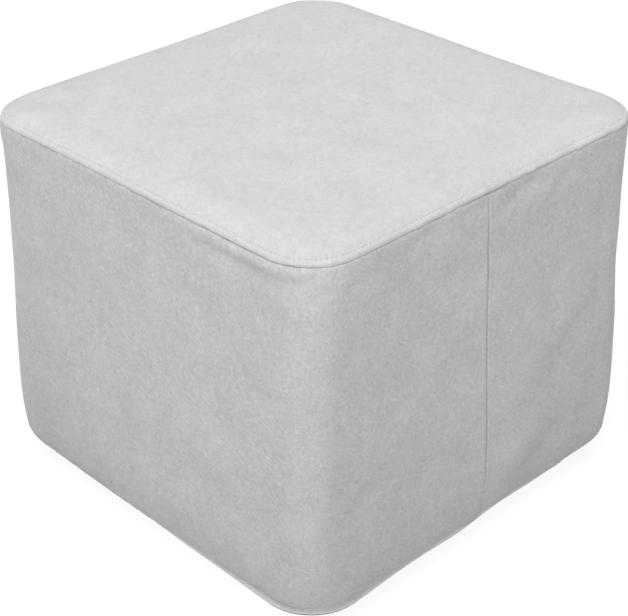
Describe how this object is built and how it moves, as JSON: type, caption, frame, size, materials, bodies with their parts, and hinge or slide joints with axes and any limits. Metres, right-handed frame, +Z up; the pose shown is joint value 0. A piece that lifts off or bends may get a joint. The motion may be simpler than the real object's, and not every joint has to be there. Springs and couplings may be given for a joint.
{
  "type": "cube pouf stool",
  "caption": "Soft cube pouf stool in pale grey brushed cloth: crowned top panel, seamed side band and a turned-up base panel over a firm filling.",
  "frame": {"origin": "middle of the flat underside, on the floor", "axes": "+Z up; -Y is the plain front side; +X is the side with the upright seam"},
  "size_m": [0.4608, 0.4608, 0.402],
  "materials": {
    "top_cloth": "pale grey brushed cloth with a short nap, matt",
    "band_cloth": "pale grey brushed cloth with a short nap, matt",
    "base_cloth": "pale grey brushed cloth with a short nap, matt"
  },
  "bodies": {
    "root": {"top_panel": "top_cloth", "side_band": "band_cloth", "base_panel": "base_cloth"}
  },
  "joints": []
}
